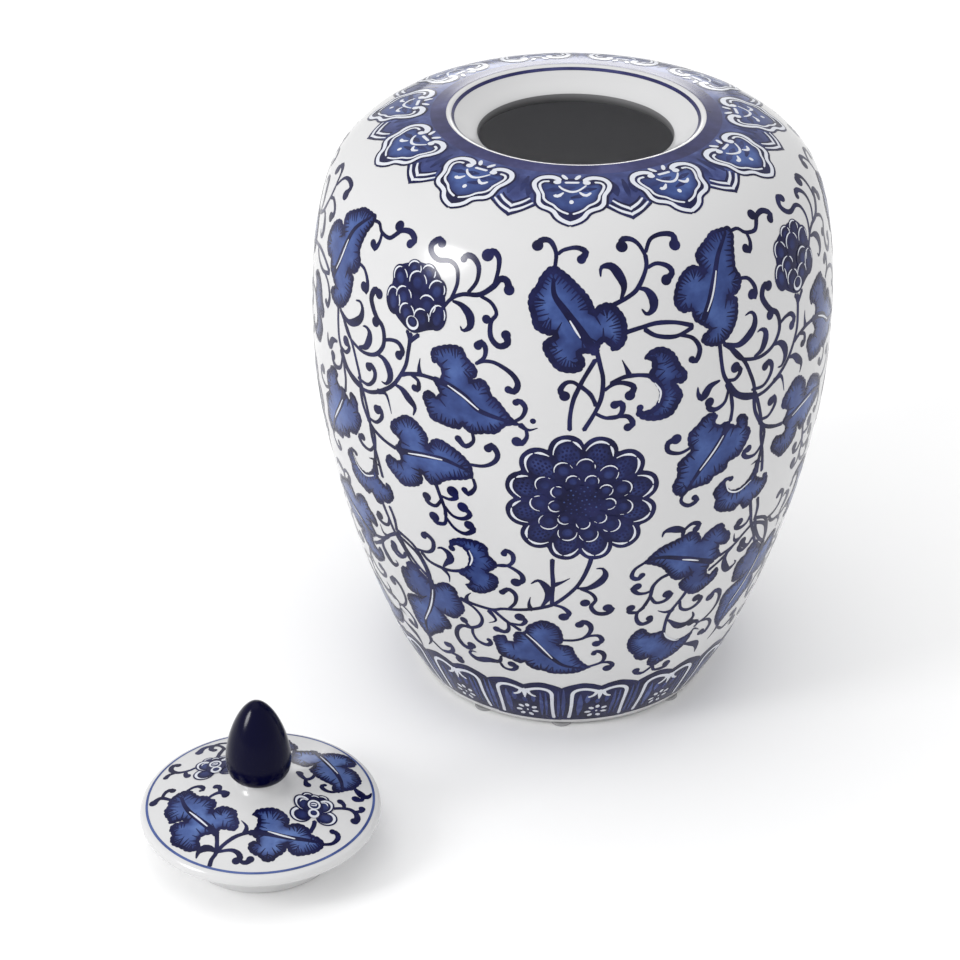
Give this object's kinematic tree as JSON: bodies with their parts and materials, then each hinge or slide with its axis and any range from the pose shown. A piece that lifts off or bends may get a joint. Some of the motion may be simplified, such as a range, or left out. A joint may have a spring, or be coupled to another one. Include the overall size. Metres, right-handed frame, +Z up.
{
  "type": "ginger jar",
  "caption": "Squat round-shouldered porcelain jar with a ringed mouth and painted scrollwork, its domed lid and egg-shaped knob set down beside it.",
  "frame": {"origin": "on the surface that jar and lid stand on, at the centre of the box around both", "axes": "+Z up, along the axis of the jar and of the lid; -Y is the front, with the lid in front of the jar and to its left (-X)"},
  "size_m": [0.2794, 0.3008, 0.2552],
  "materials": {
    "white_glaze": "clear gloss glaze over white porcelain, hand painted in underglaze cobalt",
    "cobalt_glaze": "deep gloss cobalt glaze",
    "pad_plastic": "soft translucent grey stick-on pad, satin"
  },
  "bodies": {
    "jar": {"jar_body": "white_glaze", "foot_pad_1": "pad_plastic", "foot_pad_2": "pad_plastic", "foot_pad_3": "pad_plastic", "foot_pad_4": "pad_plastic", "foot_pad_5": "pad_plastic", "foot_pad_6": "pad_plastic", "foot_pad_7": "pad_plastic", "foot_pad_8": "pad_plastic"},
    "lid": {"lid": "white_glaze", "lid_knob": "cobalt_glaze"}
  },
  "joints": [
    {"name": "lid_lift", "type": "slide", "parent": "jar", "child": "lid", "axis": [0, 0, 1], "range_m": [0, 0.3]}
  ]
}
